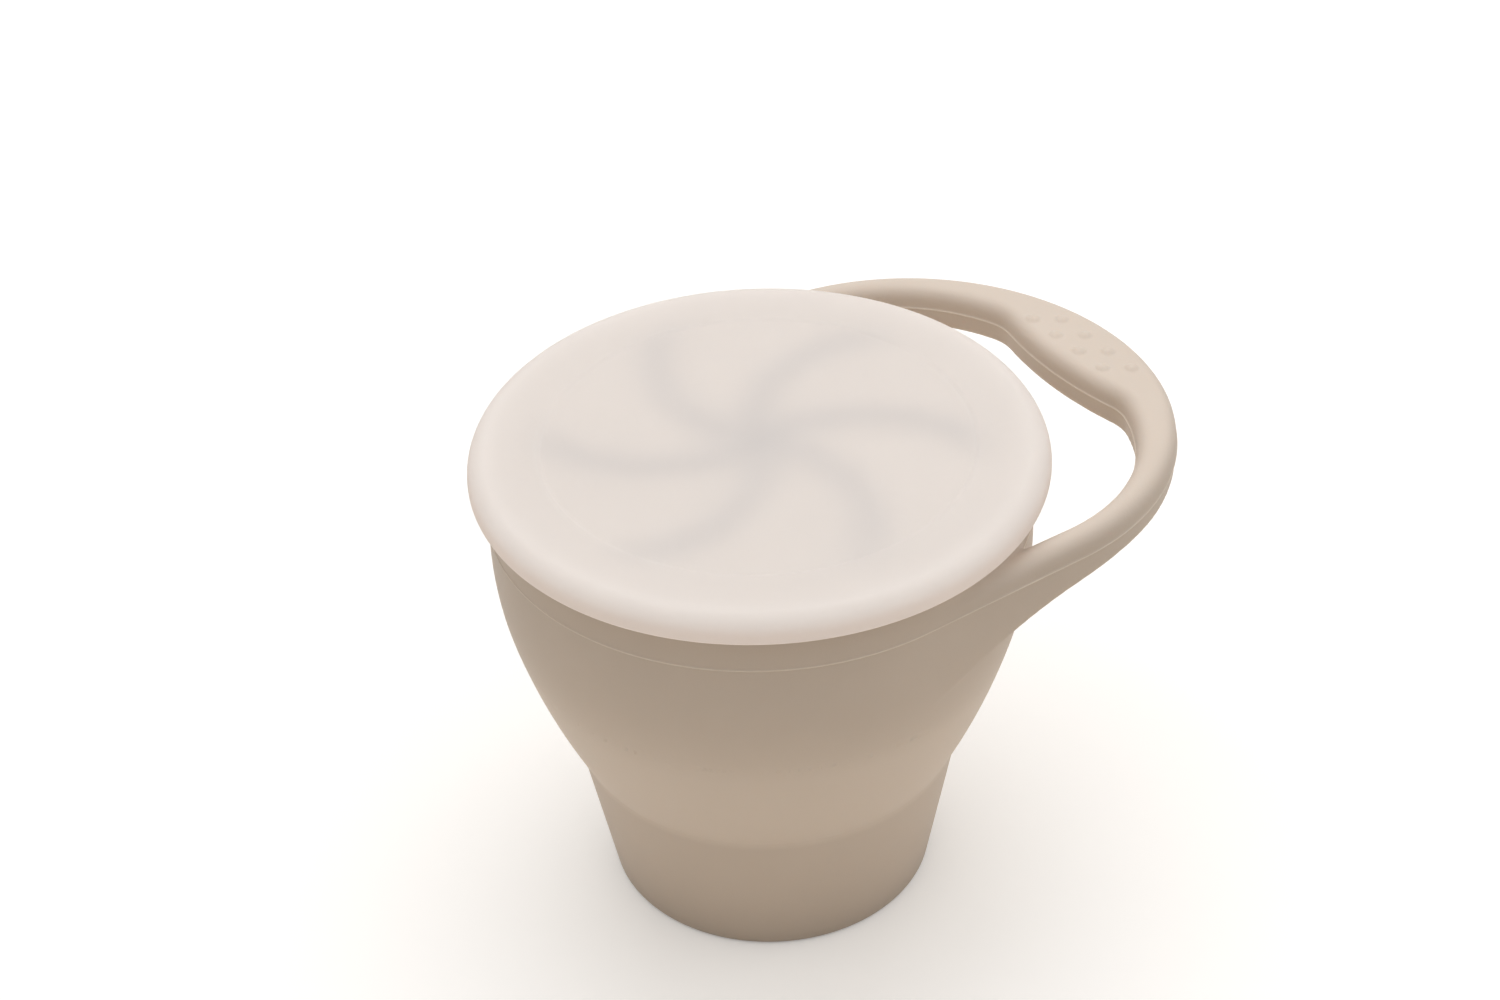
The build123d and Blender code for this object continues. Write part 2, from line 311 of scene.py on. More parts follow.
def loop_opening(x, y):
    """Distance inside the finger opening in plan."""
    lateral = np.abs(y)
    half = LOOP_RADIUS - ARM_WIDTH
    corner = (PAD_EDGE + PAD_RISE - LOOP_CORNER, half - LOOP_CORNER)
    bulge = (PAD_EDGE + PAD_BULGE, 0.0)
    across, up = x - corner[0], lateral - corner[1]
    past_corner = np.hypot(np.maximum(across, 0), np.maximum(up, 0))
    strip = past_corner + np.minimum(np.maximum(across, up), 0) - LOOP_CORNER
    pad = PAD_BULGE - np.hypot(x - bulge[0], lateral)
    # circle that rounds the corner between the opening's round end and the pad's edge
    reach_a, reach_b = LOOP_CORNER - PAD_CORNER, PAD_BULGE + PAD_CORNER
    gap = math.dist(corner, bulge)
    along = (reach_a**2 - reach_b**2 + gap**2) / (2 * gap)
    side = math.sqrt(reach_a**2 - along**2)
    ux, uy = (bulge[0] - corner[0]) / gap, (bulge[1] - corner[1]) / gap
    cx, cy = corner[0] + along * ux - side * uy, corner[1] + along * uy + side * ux
    small = np.hypot(x - cx, lateral - cy) - PAD_CORNER
    # the rounding rules between the two lines from its centre to the touching points
    ax, ay = cx - corner[0], cy - corner[1]
    bx, by = cx - bulge[0], cy - bulge[1]
    past_a = (x - cx) * ay - (lateral - cy) * ax
    past_b = (x - cx) * by - (lateral - cy) * bx
    out_x, out_y = ax / reach_a - bx / reach_b, ay / reach_a - by / reach_b
    outward = ((x - cx) * out_x + (lateral - cy) * out_y) > 0
    in_corner = (past_a > 0) & (past_b > 0) & outward
    return -np.where(in_corner, small, np.maximum(strip, pad))


def dot_rise(x, y):
    """How far the dots lift the pad's top at a place."""
    rise = 0
    for row, middle in DOT_ROWS:
        along = y - middle + (DOTS_IN_ROW - 1) / 2 * DOT_PITCH
        off = along - DOT_PITCH * np.clip(np.round(along / DOT_PITCH), 0, DOTS_IN_ROW - 1)
        share = np.hypot(x - row, off) / DOT_REACH
        rise = rise + DOT_RISE * np.maximum(1 - share**2, 0) ** DOT_STEEPNESS
    return rise


def handle_field(x, y, z):
    """Below 0 inside the handle."""
    lean = DRAFT * np.sqrt((z - PARTING) ** 2 + DRAFT_SOFTNESS) * step_up(x, *DRAFT_ONSET)
    shoulder = RIM_RADIUS - outer_radius(z)
    side = np.maximum(loop_outside(x, y) + shoulder + lean, loop_opening(x, y) + lean)
    under = np.where(
        x < ARCH_START,
        ARCH_RADIUS - np.hypot(x - ARCH_START, z - HANDLE_BOTTOM + ARCH_RADIUS),
        HANDLE_BOTTOM - z,
    )
    over = z - HANDLE_TOP - dot_rise(x, y)
    return np.maximum(crossing(side, over, CROWN), crossing(side, under, LOWER_ROUNDING))


def differences(field, value, x, y, z, step):
    """How much a field changes from its value over a short step along each axis."""
    return field(x + step, y, z) - value, field(x, y + step, z) - value, field(x, y, z + step) - value


def body_field(x, y, z):
    """Below 0 inside the cup's outline or the handle, with a fillet where they meet."""
    step = 0.02
    radius = np.hypot(x, y)
    cup = radius - outer_radius(z)
    handle = handle_field(x, y, z)
    hx, hy, hz = differences(handle_field, handle, x, y, z, step)
    slope = (outer_radius(z + step) - outer_radius(z)) / step
    size_handle = np.sqrt(hx**2 + hy**2 + hz**2) + TINIEST
    size_cup = np.sqrt(1 + slope**2)
    facing = (hx * x / radius + hy * y / radius - hz * slope) / (size_handle * size_cup)
    kept = 1 - ROOT_FADE * step_up(z, *ROOT_FADE_HEIGHTS)
    fillet = ROOT_FILLET * (1 - facing) * step_up(x, *ROOT_ONSET) * kept + TINY
    gap_cup, gap_handle = np.maximum(fillet - cup, 0), np.maximum(fillet - handle, 0)
    joined = np.maximum(fillet, np.minimum(cup, handle)) - np.hypot(gap_cup, gap_handle)
    return joined - SEAM_RISE * np.exp(-(((z - PARTING) / SEAM_WIDTH) ** 2))


def settled(points):
    """Points moved on to the zero level of the body's field."""
    rounds, step, least_slope, longest_move = 6, 0.01, 0.2, 0.3
    for _ in range(rounds):
        x, y, z = points.T
        value = body_field(x, y, z)
        slope = np.stack(differences(body_field, value, x, y, z, step), -1)
        slope /= step
        move = -value / np.maximum((slope**2).sum(-1), least_slope)
        points = points + np.clip(move, -longest_move, longest_move)[:, None] * slope
    return points


def neighbours(axis):
    """Slices of a grid that pair each place with the next one along an axis."""
    low, high = [slice(None)] * 3, [slice(None)] * 3
    low[axis], high[axis] = slice(0, -1), slice(1, None)
    return low, high


def surface_net(xs, ys, zs):
    """Points and quads round the zero level of the body's field on a grid, and each point's layer."""
    gx, gy, gz = np.meshgrid(xs, ys, zs, indexing="ij")
    field = body_field(gx, gy, gz)
    inside = field < 0
    shape = tuple(n - 1 for n in field.shape)
    # a cell's point starts at the middle of the places where the level crosses the cell's edges
    total = np.zeros(shape + (3,))
    count = np.zeros(shape)
    for axis in range(3):
        others = [k for k in range(3) if k != axis]
        low, high = (tuple(slices) for slices in neighbours(axis))
        crossed = inside[low] != inside[high]
        share = np.where(crossed, field[low] / np.where(crossed, field[low] - field[high], 1), 0)
        place = np.stack([g[low] + (g[high] - g[low]) * share for g in (gx, gy, gz)], -1)
        for shifts in ((0, 0), (0, 1), (1, 0), (1, 1)):
            window = [slice(None)] * 3
            for other, shift in zip(others, shifts):
                window[other] = slice(shift, shift + shape[other])
            window = tuple(window)
            total += place[window] * crossed[window][..., None]
            count += crossed[window]
    active = count > 0
    number = -np.ones(shape, int)
    number[active] = np.arange(active.sum())
    points = total[active] / count[active][:, None]
    layer = np.nonzero(active)[2]
    # each crossed edge of the grid gets a quad through the four cells round it
    quads = []
    for axis in range(3):
        others = [k for k in range(3) if k != axis]
        low, high = neighbours(axis)
        for other in others:
            low[other] = high[other] = slice(1, -1)
        crossed = np.argwhere(inside[tuple(low)] != inside[tuple(high)])
        for other in others:
            crossed[:, other] += 1
        corners = []
        for shifts in ((0, 0), (1, 0), (1, 1), (0, 1)):
            cell = crossed.copy()
            for other, shift in zip(others, shifts):
                cell[:, other] -= shift
            corners.append(number[tuple(cell.T)])
        quads.append(np.stack(corners, -1))
    return settled(points), np.concatenate(quads), layer


def drooped(points):
    """The soft handle hangs a little lower towards its pad."""
    x, y, z = points.T
    outside = np.hypot(x, y) > RIM_RADIUS + DROOP_CLEARANCE
    share = np.clip((x - DROOP_START) / (DROOP_END - DROOP_START), 0, DROOP_LIMIT)
    return np.stack([x, y, z - HANDLE_DROOP * share**2 * outside], -1)


def finer(places, low, high, step):
    """Grid places with a finer step between low and high."""
    within = np.linspace(low, high, round((high - low) / step) + 1)
    return np.concatenate([places[places < low - step / 2], within, places[places > high + step / 2]])


def band_and_handle():
    """Points and quads of the cup's outside with the handle, and its lowest and highest ring."""
    # step of the grid, and its finer step round the dots
    cell, fine = ((0.76, 0.3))
    half_width, length = 47.3, 78.0
    past_dots, half_dots = 1.8, 13.0
    bottom, top, seam_zone = 52.8, 80.9, 1.3
    # layers on each side of the parting line, close together at the seam
    near = np.array([0.05, 0.16, 0.28, 0.42, 0.62, 0.92])
    xs = np.arange(-half_width, length, cell)
    xs = finer(xs, DOT_ROWS[0][0] - past_dots, DOT_ROWS[1][0] + past_dots, fine)
    ys = finer(np.arange(-half_width, half_width + 0.1, cell), -half_dots, half_dots, fine)
    low = np.arange(bottom, PARTING - seam_zone, 0.7)
    high = np.arange(PARTING + seam_zone, top, 0.65)
    zs = np.concatenate([low, PARTING - near[::-1], PARTING + near, high])
    points, quads, layer = surface_net(xs, ys, zs)
    radius = np.hypot(points[:, 0], points[:, 1])
    ends = []
    for level, height in ((0, zs[0]), (len(zs) - 2, zs[-1])):
        ring = np.nonzero((layer == level) & (radius < RIM_RADIUS + 1))[0]
        grow = outer_radius(np.full(len(ring), height)) / radius[ring]
        points[ring, 0] *= grow
        points[ring, 1] *= grow
        points[ring, 2] = height
        ends.append(ring)
    return points, quads, *ends


def lower_profile(top):
    """Outline of the outside from the middle of the base up to a height."""
    lean = math.atan2(KINK_RADIUS - BASE_RADIUS, KINK_HEIGHT)
    reach = BASE_ROUNDING * math.tan(math.radians(45) - lean / 2)
    middle = (BASE_RADIUS - reach, BASE_ROUNDING)
    outline = [(0, 0)]
    walk(outline, ((middle[0] - 0.8, 0), 4))
    outline.append((middle[0] - 0.3, 0))
    outline += arc(middle, BASE_ROUNDING, -90, -math.degrees(lean), 10)
    walk(outline, ((KINK_RADIUS - KINK_EDGE * math.sin(lean), KINK_HEIGHT - KINK_EDGE), 1.1))
    # two close points soften the kink without making it wide
    outline += [(KINK_RADIUS - 0.012, KINK_HEIGHT - 0.1), (KINK_RADIUS + 0.012, KINK_HEIGHT + 0.05)]
    for z in np.concatenate([[KINK_HEIGHT + 0.3], np.arange(KINK_HEIGHT + 1, top, 0.9), [top]]):
        outline.append((float(outer_radius(np.array(z))), float(z)))
    return outline


def neck_outline(bottom):
    """Outline from a height on the rim's outside over the seat and the neck into the mouth."""
    neck_corner = NECK_TOP - NECK_ROUNDING
    outline = line((RIM_RADIUS, bottom), (RIM_RADIUS, SEAT - SEAT_ROUNDING), 0.3)
    outline += arc((RIM_RADIUS - SEAT_ROUNDING, SEAT - SEAT_ROUNDING), SEAT_ROUNDING, 15, 90, 6)
    walk(outline, ((NECK_RADIUS + SEAT_FILLET, SEAT), 0.5))
    outline += arc((NECK_RADIUS + SEAT_FILLET, SEAT + SEAT_FILLET), SEAT_FILLET, -110, -180, 5)
    walk(outline, ((NECK_RADIUS, neck_corner), 0.6))
    outline += arc((NECK_RADIUS - NECK_ROUNDING, neck_corner), NECK_ROUNDING, 10, 90, 7)
    walk(outline, ((MOUTH_RADIUS + NECK_ROUNDING, NECK_TOP), 0.6))
    outline += arc((MOUTH_RADIUS + NECK_ROUNDING, neck_corner), NECK_ROUNDING, 100, 180, 7)
    walk(outline, ((MOUTH_RADIUS, SEAT), 0.7))
    return outline


def upper_profile(bottom):
    """Outline from a height on the rim's outside over the neck and down the inside to the floor."""
    step = 1.5
    outline = neck_outline(bottom)
    inside = RIM_RADIUS - RIM_WALL
    walk(outline, ((inside, PARTING), 1.2), ((inside, SHOULDER_TOP), step))
    reach = SHOULDER_RADIUS - RIM_WALL
    for z in np.arange(SHOULDER_TOP - step, FOLD_TOP + TAPER - 0.1, -step):
        outline.append((SHOULDER_CENTRE + math.sqrt(reach**2 - (SHOULDER_TOP - z) ** 2), float(z)))
    walk(outline, ((FOLD_TOP_RADIUS - FOLD_WALL, FOLD_TOP), 1.0))
    radius, middle, level = fold_centre(KINK_RADIUS - FOLD_WALL, FOLD_TOP_RADIUS - FOLD_WALL)
    for z in np.arange(FOLD_TOP - step, KINK_HEIGHT + 0.8, -step):
        outline.append((middle + math.sqrt(radius**2 - (z - level) ** 2), float(z)))
    lean = (KINK_RADIUS - BASE_RADIUS) / KINK_HEIGHT
    taper = KINK_HEIGHT - TAPER
    walk(outline, ((KINK_RADIUS - FOLD_WALL, KINK_HEIGHT), 0.6))
    walk(outline, ((BASE_RADIUS + lean * taper - LOWER_WALL, taper), step))
    corner = (BASE_RADIUS + lean * BASE_THICKNESS - LOWER_WALL, BASE_THICKNESS)
    tilt = math.degrees(math.atan(lean))
    setback = FLOOR_ROUNDING * math.tan(math.radians(45 - tilt / 2))
    middle = (corner[0] - setback, BASE_THICKNESS + FLOOR_ROUNDING)
    touch_x = middle[0] + FLOOR_ROUNDING * math.cos(math.radians(tilt))
    touch_z = middle[1] - FLOOR_ROUNDING * math.sin(math.radians(tilt))
    walk(outline, ((touch_x, touch_z), 1.8))
    outline += arc(middle, FLOOR_ROUNDING, -tilt - 4, -90, 14)
    walk(outline, ((0.5, BASE_THICKNESS), 3.0))
    outline.append((0, BASE_THICKNESS))
    return outline


def cup_body():
    """Whole cup moulding: base, walls, rim, neck and handle in one closed mesh."""
    middle, quads, lowest, highest = band_and_handle()
    points = [tuple(p) for p in middle]
    faces = quads.tolist()

    def add_turned(profile, row, ring):
        """Adds a turned profile, one of its end rows zipped to a ring of the middle."""
        more, more_faces, rows = rings(profile)
        first = len(points)
        points.extend(more)
        faces.extend([v + first for v in face] for face in more_faces)
        faces.extend(zipped([v + first for v in rows[row]], ring.tolist(), points))

    gap_below = 0.45
    add_turned(lower_profile(middle[lowest[0], 2] - gap_below), -1, lowest)
    add_turned(upper_profile(middle[highest[0], 2]), 0, highest)
    points = np.array(points)
    piece = add_object("cup_body", drooped(points), faces)
    off_parting = ((points[:, 2] - PARTING) * 0.001).astype(np.float32)
    piece.data.attributes.new("off_parting", "FLOAT", "POINT").data.foreach_set("value", off_parting)
    return piece


# ---------------------------------------------------------------- lid
def turned(x, y, degrees):
    """Point turned about the cup's axis."""
    a = math.radians(degrees)
    return x * math.cos(a) - y * math.sin(a), x * math.sin(a) + y * math.cos(a)


def slit_point(radius):
    """Point at a radius on the slit that ends at angle 0."""
    swing = math.degrees(math.acos(SLIT_END / 2 / SLIT_ARC))
    cx, cy = turned(SLIT_ARC, 0, -swing)
    # the arc runs through the axis, so its polar form is radius = 2 * arc * cos(angle - middle)
    middle = math.atan2(cy, cx)
    angle = middle + math.acos(radius / (2 * SLIT_ARC))
    return radius * math.cos(angle), radius * math.sin(angle)


def hinge_radius(angle):
    """Radius of the hinge hexagon in a direction from +X."""
    off = (angle - SLIT_START) % FLAP_ANGLE - FLAP_ANGLE / 2
    return HINGE_APOTHEM / math.cos(math.radians(off))


def off_relief_holes(x, y):
    """Moves a point that lies in a relief hole out to its edge."""
    for k in range(FLAP_COUNT):
        hx, hy = turned(SLIT_END, 0, SLIT_START + FLAP_ANGLE * k)
        reach = math.hypot(x - hx, y - hy)
        if TINY < reach < RELIEF:
            return hx + (x - hx) * RELIEF / reach, hy + (y - hy) * RELIEF / reach
    return x, y


def slit_distance(x, y):
    """Distance from the nearest slit arc."""
    radius = math.hypot(x, y)
    angle = math.degrees(math.atan2(y, x))
    sx, sy = slit_point(min(max(radius, SLIT_BEGINS), SLIT_END))
    slit_angle = math.degrees(math.atan2(sy, sx)) + SLIT_START
    off = (angle - slit_angle + FLAP_ANGLE / 2) % FLAP_ANGLE - FLAP_ANGLE / 2
    along = radius * math.radians(abs(off))
    lean = math.acos(min(1, radius / (2 * SLIT_ARC)))
    near = along * math.sin(max(lean, LEAST_CROSSING))
    return math.hypot(near, max(0, radius - SLIT_END))


def along_slit(radius, past, before):
    """1 over most of a slit's length, fading out from before its end to past it."""
    return float(step_up(radius, SLIT_END + past, SLIT_END - before))


def sagged(x, y):
    """Height of the membrane's top, lower along the slits and at the middle."""
    radius = math.hypot(x, y)
    droop = SLIT_SAG * bell(slit_distance(x, y), SLIT_SAG_WIDTH) * along_slit(radius, 1.0, 9)
    droop += MIDDLE_SAG * bell(radius, MIDDLE_SAG_WIDTH)
    return FLAP_TOP - droop


def shade_slits(piece):
    """Keeps on each point how strong the painted shade is there, along the drooping slits and in the middle,
    for its colour.
    """
    mesh = piece.data
    values = []
    for v in mesh.vertices:
        x, y = v.co.x * 1000, v.co.y * 1000
        radius = math.hypot(x, y)
        # painted shade along each slit and in the middle of the lid
        arm = bell(slit_distance(x, y), SLIT_SHADE_WIDTH) * along_slit(radius, 3.5, 5)
        middle = bell(radius, MIDDLE_SHADE_WIDTH)
        values.append(1 - (1 - SLIT_SHADE * arm) * (1 - MIDDLE_SHADE * middle))
    mesh.attributes.new("droop", "FLOAT", "POINT").data.foreach_set("value", values)


def lid_outline():
    """Outline of the lid's ring from its top edge down the outside, over the neck and round the plug."""
    lip_rounding, plug_rounding, plug_inner_rounding = 0.25, 0.6, 0.5
    outline = arc((RIM_RADIUS - LID_ROUNDING, LID_TOP - LID_ROUNDING), LID_ROUNDING, 90, 0, 7)
    walk(outline, ((RIM_RADIUS, SEAT + 0.35), 0.6))
    outline += arc((RIM_RADIUS - lip_rounding, SEAT + 0.3), lip_rounding, 0, -90, 5)
    lip = NECK_RADIUS + LID_CLEARANCE
    walk(outline, ((lip, SEAT + LID_GAP), 0.5), ((lip, NECK_TOP + LID_GAP), 0.5))
    walk(outline, ((PLUG_OUTSIDE, NECK_TOP + LID_GAP), 0.6))
    walk(outline, ((PLUG_OUTSIDE, PLUG_BOTTOM + plug_rounding), 0.8))
    outline += arc((PLUG_OUTSIDE - plug_rounding, PLUG_BOTTOM + plug_rounding), plug_rounding, -10, -90, 6)
    inner = (RING_INSIDE + plug_inner_rounding, PLUG_BOTTOM + plug_inner_rounding)
    outline += arc(inner, plug_inner_rounding, -90, -180, 6)
    walk(outline, ((RING_INSIDE, FLAP_TOP - MEMBRANE), 0.8))
    return outline


def web_point(degrees, share, drop):
    """Point of the web, a share of the way from the ring to the hinge line and a drop below its top."""
    radius = RING_INSIDE + (hinge_radius(degrees) - RING_INSIDE) * share
    x, y = off_relief_holes(*turned(radius, 0, degrees))
    top = FLAP_TOP if share == 0 else sagged(x, y)
    return x, y, top - drop


def lid_ring():
    """Lid's ring, its plug and the web out to the hinge lines."""
    points, faces, rows = rings(lid_outline(), LID_SEGMENTS)
    plug_end = len(rows) - 1
    directions = [360 * k / LID_SEGMENTS for k in range(LID_SEGMENTS)]

    def add_row(row_points):
        """Adds a ring of points and keeps their numbers."""
        first = len(points)
        points.extend(row_points)
        rows.append(list(range(first, len(points))))

    web_shares = np.linspace(0, 1, 6)
    for shares, drop in ((web_shares, MEMBRANE), (web_shares[::-1], 0)):
        for share in shares:
            add_row([web_point(degrees, share, drop) for degrees in directions])
    # the step from the web up to the ring's flat top
    top_rows = (
        (RING_INSIDE + 0.15, FLAP_TOP + 0.03),
        (RING_INSIDE + 0.45, LID_TOP - 0.05),
        (RING_INSIDE + 0.7, LID_TOP),
        (RIM_RADIUS - 1.4, LID_TOP),
    )
    for radius, height in top_rows:
        add_row([(*turned(radius, 0, degrees), height) for degrees in directions])
    loop = rows[plug_end:] + rows[:1]
    for low, high in zip(loop, loop[1:]):
        for k in range(LID_SEGMENTS):
            n = (k + 1) % LID_SEGMENTS
            faces.append([low[k], low[n], high[n], high[k]])
    return add_object("lid_ring", points, faces, crease=CREASE)


def flap_place(start, side, radius, share):
    """Place in plan of a flap's point, a share of the way across it and of the way out to its hinge."""
    sx, sy = slit_point(radius)
    gap = math.degrees(HALF_SLIT / max(radius, SLIT_NARROWS))
    degrees = start + FLAP_ANGLE * side + gap * (1 - 2 * side)
    x, y = turned(sx, sy, degrees)
    stretch = hinge_radius(start + FLAP_ANGLE * side) / SLIT_END if 0 < side < 1 else 1.0
    grow = 1 + (stretch - 1) * share**2
    return off_relief_holes(x * grow, y * grow)


def lid_flap(index):
    """One soft flap between two slits, thin and drooping at its cut edges."""
    across, along = ((44, 52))
    # brings the rows of points closer together at the flap's cut edges
    crowding = 1.35
    shares = np.linspace(0, 1, along + 1)
    radii = CENTRE_HOLE + (SLIT_END - CENTRE_HOLE) * shares
    sides = np.linspace(-1, 1, across + 1)
    sides = 0.5 + 0.5 * np.sign(sides) * (1 - (1 - np.abs(sides)) ** crowding)
    start = SLIT_START + FLAP_ANGLE * (index - 1)
    points, top, under = [], [], []
    for radius, share in zip(radii, shares):
        top_row, under_row = [], []
        for side in sides:
            x, y = flap_place(start, side, radius, share)
            height = sagged(x, y)
            thinned = EDGE_THINNING * bell(slit_distance(x, y), EDGE_WIDTH) * along_slit(radius, 0, 8)
            top_row.append(len(points))
            points.append((x, y, height))
            under_row.append(len(points))
            points.append((x, y, height - (MEMBRANE - thinned)))
        top.append(top_row)
        under.append(under_row)
    faces = []
    for i in range(along):
        for j in range(across):
            faces.append([top[i][j], top[i][j + 1], top[i + 1][j + 1], top[i + 1][j]])
            faces.append([under[i][j], under[i + 1][j], under[i + 1][j + 1], under[i][j + 1]])
    edge = [(i, 0) for i in range(along + 1)] + [(along, j) for j in range(1, across + 1)]
    edge += [(i, across) for i in range(along - 1, -1, -1)] + [(0, j) for j in range(across - 1, 0, -1)]
    for (i, j), (m, n) in zip(edge, edge[1:] + edge[:1]):
        faces.append([top[i][j], top[m][n], under[m][n], under[i][j]])
    return add_object(f"flap_skin_{index}", points, faces, crease=CREASE)


# ---------------------------------------------------------------- cover
def dust_cover():
    """Soft round cover with a rolled edge and a shallow recess."""
    floor = COVER_TOP - RECESS_DEPTH
    # half the width of the recess's soft step, and its points
    half_step, step_points = 0.5, 8
    inner_rounding = 0.4
    outline = [(0, floor)]
    walk(outline, ((RECESS_RADIUS - half_step, floor), 1.5))
    for k in range(1, step_points + 1):
        t = k / step_points
        rise = RECESS_DEPTH * t * t * (3 - 2 * t)
        outline.append((RECESS_RADIUS - half_step + 2 * half_step * t, floor + rise))
    walk(outline, ((COVER_RADIUS - COVER_TOP_ROUNDING - 0.4, COVER_TOP), 1.2))
    shoulder = (COVER_RADIUS - COVER_TOP_ROUNDING, COVER_TOP - COVER_TOP_ROUNDING)
    outline += arc(shoulder, COVER_TOP_ROUNDING, 88, 0, 18)
    outline += arc((COVER_RADIUS - COVER_EDGE, COVER_BOTTOM + COVER_EDGE), COVER_EDGE, 0, -90, 9)
    outline += arc((COVER_INSIDE + COVER_EDGE, COVER_BOTTOM + COVER_EDGE), COVER_EDGE, -100, -180, 8)
    walk(outline, ((COVER_INSIDE, LID_TOP - 0.35), 0.6))
    outline += arc((COVER_INSIDE - inner_rounding, LID_TOP - 0.35), inner_rounding, 10, 90, 6)
    walk(outline, ((0.6, LID_TOP + LID_GAP), 2.0))
    outline.append((0, LID_TOP + LID_GAP))
    points, faces, _ = rings(outline)
    return add_object("cover_shell", points, faces)


# ---------------------------------------------------------------- materials
CUP_COLOUR = (0.68, 0.594, 0.52)
THIN_WALL_GLOW_COLOUR = (0.795, 0.705, 0.628, 1)
SEAM_HIGHLIGHT_COLOUR = (0.84, 0.76, 0.67, 1)
LID_COLOUR = (0.7, 0.61, 0.54)
PAINTED_SLIT_SHADE_COLOUR = (0.33, 0.275, 0.27, 1)
COVER_COLOUR = (0.98, 0.955, 0.938)
COVER_THROUGH = (1.0, 1.0, 1.0, 1)
LIP_SHADE_THROUGH = (0.96, 0.9, 0.86, 1)
COVER_PASS = 0.64           # share of the light that goes on through the cover

CUP_HEIGHT = 0.088          # metres
# share of painted glow on the thin folding wall, as of light coming through it, by shares of that height
THIN_WALL_GLOW = (
    (0.0, 0.0),
    (0.305, 0.0),
    (0.325, 0.85),
    (0.36, 1.0),
    (0.56, 1.0),
    (0.62, 0.45),
    (0.72, 0.0),
    (1.0, 0.0),
)
# metres off the parting line at which the seam's painted highlight starts and is full
SEAM_HIGHLIGHT_FADE = (0.00018, 0.00005)
# depth in mm below the cover's top at which the lip's painted shade starts and is full
LIP_SHADE_DEPTHS = (0.5, 3.0)

# floor colour seen by the object, by distance from the axis in metres: painted pool of light, painted shade
# at the foot
PAINTED_LIGHT_POOL = (
    (0.030, (0.45, 0.4, 0.34, 1)),
    (0.055, (0.9, 0.82, 0.72, 1)),
    (0.100, (0.9, 0.82, 0.72, 1)),
    (0.350, (0.27, 0.238, 0.198, 1)),
)
FLOOR_COLOUR = (0.9, 0.9, 0.9, 1)
FLOOR_LIFT = 0.2

# sockets of a colour Mix node, whose names aren't unique
MIX_SHARE, MIX_A, MIX_B, MIX_COLOUR = 0, 6, 7, 2


def new_material(name):
    """Material with its node tree, ready for use."""
    material = bpy.data.materials.new(name)
    material.use_nodes = True
    nodes = material.node_tree.nodes
    return material, nodes, material.node_tree.links, nodes["Principled BSDF"]


def ramp(nodes, links, value, stops, interpolation="LINEAR"):
    """Colour by a value, through stops of (position, colour)."""
    node = nodes.new("ShaderNodeValToRGB")
    node.color_ramp.interpolation = interpolation
    elements = node.color_ramp.elements
    for element, (position, colour) in zip((elements[0], elements[1]), (stops[0], stops[-1])):
        element.position = position
        element.color = colour
    for position, colour in stops[1:-1]:
        elements.new(position).color = colour
    links.new(value, node.inputs["Fac"])
    return node.outputs["Color"]


def mapped(nodes, links, value, start, end, low=0.0, high=1.0, interpolation="SMOOTHSTEP"):
    """Value brought from the range between start and end to the one between low and high."""
    node = nodes.new("ShaderNodeMapRange")
    node.interpolation_type = interpolation
    for name, limit in (("From Min", start), ("From Max", end), ("To Min", low), ("To Max", high)):
        node.inputs[name].default_value = limit
    links.new(value, node.inputs["Value"])
    return node.outputs["Result"]


def tinted(nodes, links, share, tint):
    """Mix node that carries its first colour over to a tint by a share."""
    node = nodes.new("ShaderNodeMix")
    node.data_type = "RGBA"
    node.inputs[MIX_B].default_value = tint
    links.new(share, node.inputs[MIX_SHARE])
    return node


def attribute(nodes, name):
    """Node that reads a mesh's attribute."""
    node = nodes.new("ShaderNodeAttribute")
    node.attribute_name = name
    return node


def height_of(nodes, links, place):
    """Z of a place or direction."""
    node = nodes.new("ShaderNodeSeparateXYZ")
    links.new(place, node.inputs["Vector"])
    return node.outputs["Z"]


def noise(nodes, links, place, scale, detail):
    """Noise over the surface, from 0 to 1."""
    node = nodes.new("ShaderNodeTexNoise")
    node.inputs["Scale"].default_value = scale
    node.inputs["Detail"].default_value = detail
    links.new(place, node.inputs["Vector"])
    return node.outputs["Fac"]


def mottled(nodes, links, place, base, spread, scale):
    """Colour that wanders softly round a base colour over the surface."""
    darker = tuple(c * (1 - spread) for c in base) + (1,)
    lighter = tuple(min(1, c * (1 + spread)) for c in base) + (1,)
    cloud = noise(nodes, links, place, scale, detail=3)
    return ramp(nodes, links, cloud, ((0.3, darker), (0.7, lighter)))


def grain(nodes, links, place, shader, scale, distance):
    """Fine mould texture as bump, and a roughness that wanders a little."""
    fine = noise(nodes, links, place, scale, detail=2)
    bump = nodes.new("ShaderNodeBump")
    bump.inputs["Strength"].default_value = 0.35
    bump.inputs["Distance"].default_value = distance
    links.new(fine, bump.inputs["Height"])
    links.new(bump.outputs["Normal"], shader.inputs["Normal"])
    roughness = mapped(nodes, links, fine, 0.0, 1.0, low=0.5, high=0.62, interpolation="LINEAR")
    links.new(roughness, shader.inputs["Roughness"])


def scatter(shader, weight, radius, scale):
    """Soft scatter of light below the surface."""
    shader.inputs["Subsurface Weight"].default_value = weight
    shader.inputs["Subsurface Radius"].default_value = radius
    shader.inputs["Subsurface Scale"].default_value = scale


